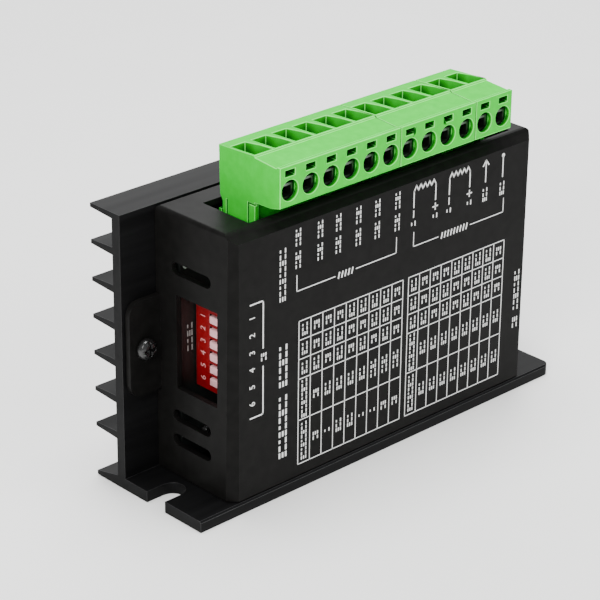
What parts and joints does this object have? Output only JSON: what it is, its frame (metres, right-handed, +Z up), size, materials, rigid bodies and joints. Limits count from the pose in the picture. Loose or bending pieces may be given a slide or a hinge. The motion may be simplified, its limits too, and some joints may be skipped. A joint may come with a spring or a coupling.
{
  "type": "stepper motor driver module",
  "caption": "Stepper motor driver module: sheet cover on a finned L-shaped heat sink, pluggable screw terminals along the top and a switch block behind an end window.",
  "frame": {"origin": "centre of the box around the module, on the underside of the mounting leg", "axes": "+X along the length to the end without the switch window, +Y from the printed front to the fin tips, +Z up from the mounting leg to the terminals"},
  "size_m": [0.096, 0.03, 0.0669],
  "materials": {
    "anodised": "black anodised extrusion, satin",
    "cover_paint": "black powder paint on sheet steel, satin",
    "screw_steel": "black zinc plated steel",
    "board": "dark solder mask on glass-fibre board",
    "terminal_green": "moulded green plastic, satin",
    "terminal_metal": "nickel plated steel",
    "switch_red": "moulded red plastic",
    "lever_white": "moulded white plastic",
    "component_black": "moulded black epoxy",
    "capacitor_sleeve": "dark shrink sleeve over an aluminium can",
    "thermal_grey": "grey heat-conducting silicone",
    "led_lens": "clear lens on a white body",
    "resistor_black": "dark glazed ceramic",
    "spacer_metal": "nickel plated brass"
  },
  "bodies": {
    "module": {"heat_sink": "anodised", "cover": "cover_paint", "cover_screw_left": "screw_steel", "cover_screw_right": "screw_steel", "board_screw_left": "screw_steel", "board_screw_right": "screw_steel", "main_board": "board", "header_6": "terminal_green", "header_4": "terminal_green", "header_2": "terminal_green", "dip_switch": "switch_red", "driver_chip": "component_black", "optocoupler_1": "component_black", "optocoupler_2": "component_black", "optocoupler_3": "component_black", "regulator": "component_black", "capacitor_1": "capacitor_sleeve", "capacitor_2": "capacitor_sleeve", "thermal_pad": "thermal_grey", "power_led": "led_lens", "alarm_led": "led_lens", "sense_resistor_1": "resistor_black", "sense_resistor_2": "resistor_black", "board_spacer_left": "spacer_metal", "board_spacer_right": "spacer_metal"},
    "plug_6": {"plug_6": "terminal_green"},
    "plug_4": {"plug_4": "terminal_green"},
    "plug_2": {"plug_2": "terminal_green"},
    "terminal_screw_01": {"terminal_screw_01": "terminal_metal"},
    "wire_clamp_01": {"wire_clamp_01": "terminal_metal"},
    "terminal_screw_02": {"terminal_screw_02": "terminal_metal"},
    "wire_clamp_02": {"wire_clamp_02": "terminal_metal"},
    "terminal_screw_03": {"terminal_screw_03": "terminal_metal"},
    "wire_clamp_03": {"wire_clamp_03": "terminal_metal"},
    "terminal_screw_04": {"terminal_screw_04": "terminal_metal"},
    "wire_clamp_04": {"wire_clamp_04": "terminal_metal"},
    "terminal_screw_05": {"terminal_screw_05": "terminal_metal"},
    "wire_clamp_05": {"wire_clamp_05": "terminal_metal"},
    "terminal_screw_06": {"terminal_screw_06": "terminal_metal"},
    "wire_clamp_06": {"wire_clamp_06": "terminal_metal"},
    "terminal_screw_07": {"terminal_screw_07": "terminal_metal"},
    "wire_clamp_07": {"wire_clamp_07": "terminal_metal"},
    "terminal_screw_08": {"terminal_screw_08": "terminal_metal"},
    "wire_clamp_08": {"wire_clamp_08": "terminal_metal"},
    "terminal_screw_09": {"terminal_screw_09": "terminal_metal"},
    "wire_clamp_09": {"wire_clamp_09": "terminal_metal"},
    "terminal_screw_10": {"terminal_screw_10": "terminal_metal"},
    "wire_clamp_10": {"wire_clamp_10": "terminal_metal"},
    "terminal_screw_11": {"terminal_screw_11": "terminal_metal"},
    "wire_clamp_11": {"wire_clamp_11": "terminal_metal"},
    "terminal_screw_12": {"terminal_screw_12": "terminal_metal"},
    "wire_clamp_12": {"wire_clamp_12": "terminal_metal"},
    "dip_lever_1": {"dip_lever_1": "lever_white"},
    "dip_lever_2": {"dip_lever_2": "lever_white"},
    "dip_lever_3": {"dip_lever_3": "lever_white"},
    "dip_lever_4": {"dip_lever_4": "lever_white"},
    "dip_lever_5": {"dip_lever_5": "lever_white"},
    "dip_lever_6": {"dip_lever_6": "lever_white"}
  },
  "joints": [
    {"name": "plug_6_pull_off", "type": "slide", "parent": "module", "child": "plug_6", "axis": [0, 0, 1], "range_m": [0, 0.012]},
    {"name": "plug_4_pull_off", "type": "slide", "parent": "module", "child": "plug_4", "axis": [0, 0, 1], "range_m": [0, 0.012]},
    {"name": "plug_2_pull_off", "type": "slide", "parent": "module", "child": "plug_2", "axis": [0, 0, 1], "range_m": [0, 0.012]},
    {"name": "terminal_screw_01_turn", "type": "hinge", "parent": "plug_6", "child": "terminal_screw_01", "pos_m": [-0.02656, -0.0046, 0.064], "axis": [0, 0, -1], "range_deg": [0, 720]},
    {"name": "wire_clamp_01_lift", "type": "slide", "parent": "plug_6", "child": "wire_clamp_01", "axis": [0, 0, 1], "range_m": [0, 0.0009]},
    {"name": "terminal_screw_02_turn", "type": "hinge", "parent": "plug_6", "child": "terminal_screw_02", "pos_m": [-0.02148, -0.0046, 0.064], "axis": [0, 0, -1], "range_deg": [0, 720]},
    {"name": "wire_clamp_02_lift", "type": "slide", "parent": "plug_6", "child": "wire_clamp_02", "axis": [0, 0, 1], "range_m": [0, 0.0009]},
    {"name": "terminal_screw_03_turn", "type": "hinge", "parent": "plug_6", "child": "terminal_screw_03", "pos_m": [-0.0164, -0.0046, 0.064], "axis": [0, 0, -1], "range_deg": [0, 720]},
    {"name": "wire_clamp_03_lift", "type": "slide", "parent": "plug_6", "child": "wire_clamp_03", "axis": [0, 0, 1], "range_m": [0, 0.0009]},
    {"name": "terminal_screw_04_turn", "type": "hinge", "parent": "plug_6", "child": "terminal_screw_04", "pos_m": [-0.01132, -0.0046, 0.064], "axis": [0, 0, -1], "range_deg": [0, 720]},
    {"name": "wire_clamp_04_lift", "type": "slide", "parent": "plug_6", "child": "wire_clamp_04", "axis": [0, 0, 1], "range_m": [0, 0.0009]},
    {"name": "terminal_screw_05_turn", "type": "hinge", "parent": "plug_6", "child": "terminal_screw_05", "pos_m": [-0.00624, -0.0046, 0.064], "axis": [0, 0, -1], "range_deg": [0, 720]},
    {"name": "wire_clamp_05_lift", "type": "slide", "parent": "plug_6", "child": "wire_clamp_05", "axis": [0, 0, 1], "range_m": [0, 0.0009]},
    {"name": "terminal_screw_06_turn", "type": "hinge", "parent": "plug_6", "child": "terminal_screw_06", "pos_m": [-0.00116, -0.0046, 0.064], "axis": [0, 0, -1], "range_deg": [0, 720]},
    {"name": "wire_clamp_06_lift", "type": "slide", "parent": "plug_6", "child": "wire_clamp_06", "axis": [0, 0, 1], "range_m": [0, 0.0009]},
    {"name": "terminal_screw_07_turn", "type": "hinge", "parent": "plug_4", "child": "terminal_screw_07", "pos_m": [0.00392, -0.0046, 0.064], "axis": [0, 0, -1], "range_deg": [0, 720]},
    {"name": "wire_clamp_07_lift", "type": "slide", "parent": "plug_4", "child": "wire_clamp_07", "axis": [0, 0, 1], "range_m": [0, 0.0009]},
    {"name": "terminal_screw_08_turn", "type": "hinge", "parent": "plug_4", "child": "terminal_screw_08", "pos_m": [0.009, -0.0046, 0.064], "axis": [0, 0, -1], "range_deg": [0, 720]},
    {"name": "wire_clamp_08_lift", "type": "slide", "parent": "plug_4", "child": "wire_clamp_08", "axis": [0, 0, 1], "range_m": [0, 0.0009]},
    {"name": "terminal_screw_09_turn", "type": "hinge", "parent": "plug_4", "child": "terminal_screw_09", "pos_m": [0.01408, -0.0046, 0.064], "axis": [0, 0, -1], "range_deg": [0, 720]},
    {"name": "wire_clamp_09_lift", "type": "slide", "parent": "plug_4", "child": "wire_clamp_09", "axis": [0, 0, 1], "range_m": [0, 0.0009]},
    {"name": "terminal_screw_10_turn", "type": "hinge", "parent": "plug_4", "child": "terminal_screw_10", "pos_m": [0.01916, -0.0046, 0.064], "axis": [0, 0, -1], "range_deg": [0, 720]},
    {"name": "wire_clamp_10_lift", "type": "slide", "parent": "plug_4", "child": "wire_clamp_10", "axis": [0, 0, 1], "range_m": [0, 0.0009]},
    {"name": "terminal_screw_11_turn", "type": "hinge", "parent": "plug_2", "child": "terminal_screw_11", "pos_m": [0.02424, -0.0046, 0.064], "axis": [0, 0, -1], "range_deg": [0, 720]},
    {"name": "wire_clamp_11_lift", "type": "slide", "parent": "plug_2", "child": "wire_clamp_11", "axis": [0, 0, 1], "range_m": [0, 0.0009]},
    {"name": "terminal_screw_12_turn", "type": "hinge", "parent": "plug_2", "child": "terminal_screw_12", "pos_m": [0.02932, -0.0046, 0.064], "axis": [0, 0, -1], "range_deg": [0, 720]},
    {"name": "wire_clamp_12_lift", "type": "slide", "parent": "plug_2", "child": "wire_clamp_12", "axis": [0, 0, 1], "range_m": [0, 0.0009]},
    {"name": "dip_lever_1_slide", "type": "slide", "parent": "module", "child": "dip_lever_1", "axis": [0, -1, 0], "range_m": [0, 0.0018]},
    {"name": "dip_lever_2_slide", "type": "slide", "parent": "module", "child": "dip_lever_2", "axis": [0, -1, 0], "range_m": [0, 0.0018]},
    {"name": "dip_lever_3_slide", "type": "slide", "parent": "module", "child": "dip_lever_3", "axis": [0, -1, 0], "range_m": [0, 0.0018]},
    {"name": "dip_lever_4_slide", "type": "slide", "parent": "module", "child": "dip_lever_4", "axis": [0, -1, 0], "range_m": [0, 0.0018]},
    {"name": "dip_lever_5_slide", "type": "slide", "parent": "module", "child": "dip_lever_5", "axis": [0, -1, 0], "range_m": [0, 0.0018]},
    {"name": "dip_lever_6_slide", "type": "slide", "parent": "module", "child": "dip_lever_6", "axis": [0, -1, 0], "range_m": [0, 0.0018]}
  ],
  "couplings": [
    {"joint": "terminal_screw_01_turn", "follows": "wire_clamp_01_lift", "rad_per_m": 13962},
    {"joint": "terminal_screw_02_turn", "follows": "wire_clamp_02_lift", "rad_per_m": 13962},
    {"joint": "terminal_screw_03_turn", "follows": "wire_clamp_03_lift", "rad_per_m": 13962},
    {"joint": "terminal_screw_04_turn", "follows": "wire_clamp_04_lift", "rad_per_m": 13962},
    {"joint": "terminal_screw_05_turn", "follows": "wire_clamp_05_lift", "rad_per_m": 13962},
    {"joint": "terminal_screw_06_turn", "follows": "wire_clamp_06_lift", "rad_per_m": 13962},
    {"joint": "terminal_screw_07_turn", "follows": "wire_clamp_07_lift", "rad_per_m": 13962},
    {"joint": "terminal_screw_08_turn", "follows": "wire_clamp_08_lift", "rad_per_m": 13962},
    {"joint": "terminal_screw_09_turn", "follows": "wire_clamp_09_lift", "rad_per_m": 13962},
    {"joint": "terminal_screw_10_turn", "follows": "wire_clamp_10_lift", "rad_per_m": 13962},
    {"joint": "terminal_screw_11_turn", "follows": "wire_clamp_11_lift", "rad_per_m": 13962},
    {"joint": "terminal_screw_12_turn", "follows": "wire_clamp_12_lift", "rad_per_m": 13962}
  ]
}
